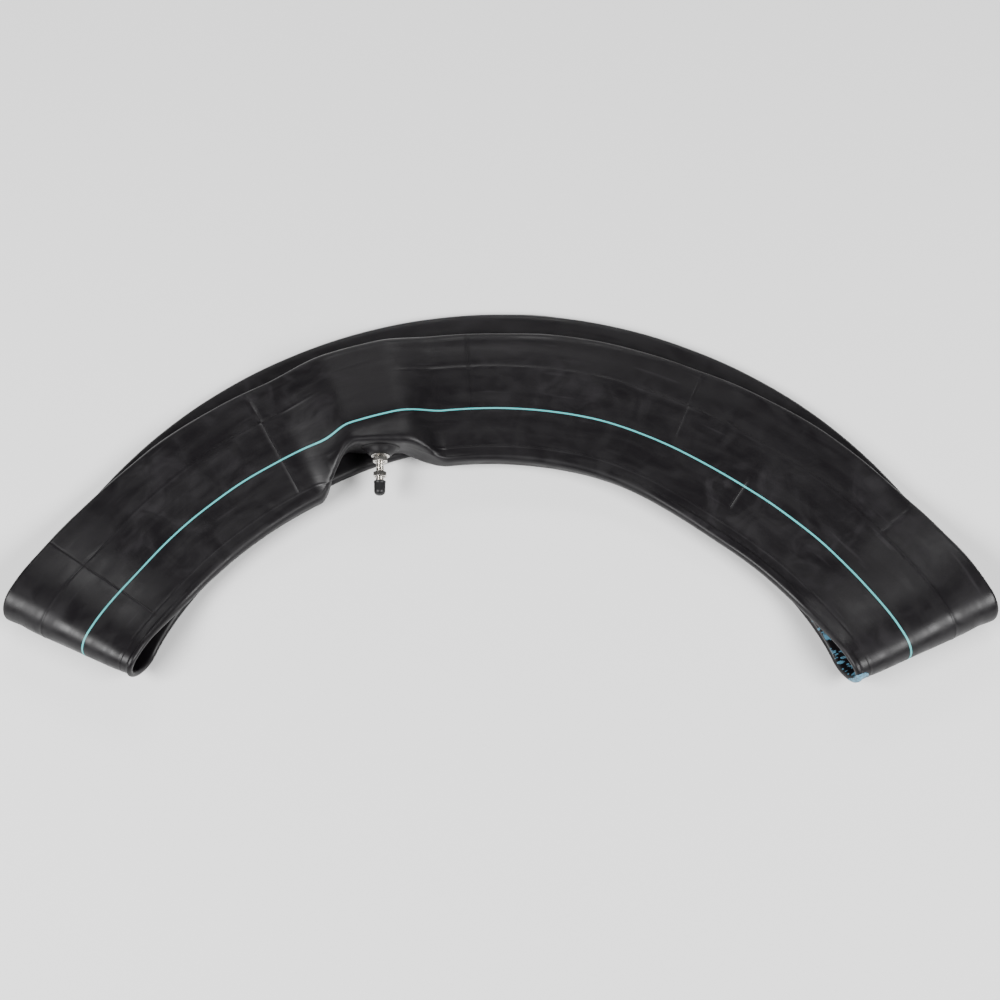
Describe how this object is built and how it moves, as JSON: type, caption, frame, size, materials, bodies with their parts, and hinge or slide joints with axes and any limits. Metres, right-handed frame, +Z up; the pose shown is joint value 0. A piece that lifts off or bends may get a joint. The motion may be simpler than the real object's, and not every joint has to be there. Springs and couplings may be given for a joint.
{
  "type": "inner tube",
  "caption": "Flattened and folded rubber inner tube for a motorcycle tyre, with a threaded metal valve, washer, nuts, valve core and dust cap.",
  "frame": {"origin": "on the surface it lies on, under the middle of its box", "axes": "+X along the length of the folded arch, +Y towards the arch's crown, +Z up; the arch opens towards -Y and the valve points that way"},
  "size_m": [0.827, 0.3494, 0.0492],
  "materials": {
    "tube_rubber": "satin butyl rubber with faint talc smudges",
    "pad_rubber": "satin moulded rubber",
    "seal_rubber": "matte",
    "red_seal": "satin",
    "nickel_plate": "bright nickel plate on brass",
    "brass": "turned brass",
    "spring_steel": "drawn wire",
    "cap_plastic": "moulded, satin",
    "stripe_ink": "printed line, satin",
    "mark_ink": "printed marks, matte"
  },
  "bodies": {
    "tube": {"tube_body": "tube_rubber", "valve_base_pad": "pad_rubber", "valve_stem": "nickel_plate", "core_plug": "brass", "core_barrel": "brass", "core_barrel_gasket": "red_seal", "core_spring": "spring_steel"},
    "washer": {"ridge_washer": "nickel_plate"},
    "clamp_nut": {"clamp_nut": "nickel_plate"},
    "rim_nut": {"rim_nut": "nickel_plate"},
    "cap_seal": {"cap_gasket": "seal_rubber"},
    "cap": {"cap_shell": "cap_plastic"},
    "core_pin": {"core_pin": "brass", "core_pin_cup": "brass", "core_cup_gasket": "seal_rubber"}
  },
  "joints": [
    {"name": "cap_lift", "type": "slide", "parent": "tube", "child": "cap_seal", "axis": [0, -0.9945, -0.1045], "range_m": [0, 0.0095]},
    {"name": "cap_turn", "type": "hinge", "parent": "cap_seal", "child": "cap", "pos_m": [-0.10236, 0.00374, 0.02707], "axis": [0, -0.9945, -0.1045], "range_deg": [0, 4320]},
    {"name": "washer_lift", "type": "slide", "parent": "tube", "child": "washer", "axis": [0, -0.9945, -0.1045], "range_m": [0, 0.0031]},
    {"name": "clamp_turn", "type": "hinge", "parent": "washer", "child": "clamp_nut", "pos_m": [-0.10236, 0.02493, 0.0293], "axis": [0, -0.9945, -0.1045], "range_deg": [0, 1440]},
    {"name": "rim_nut_travel", "type": "slide", "parent": "tube", "child": "rim_nut", "axis": [0, -0.9945, -0.1045], "range_m": [-0.004, 0.003]},
    {"name": "pin_press", "type": "slide", "parent": "tube", "child": "core_pin", "axis": [0, 0.9945, 0.1045], "range_m": [0, 0.0018], "stiffness_N_per_m": 300, "deforming": ["core_spring"]}
  ],
  "couplings": [
    {"joint": "cap_turn", "follows": "cap_lift", "rad_per_m": 7915.8},
    {"joint": "clamp_turn", "follows": "washer_lift", "rad_per_m": 7915.8}
  ]
}
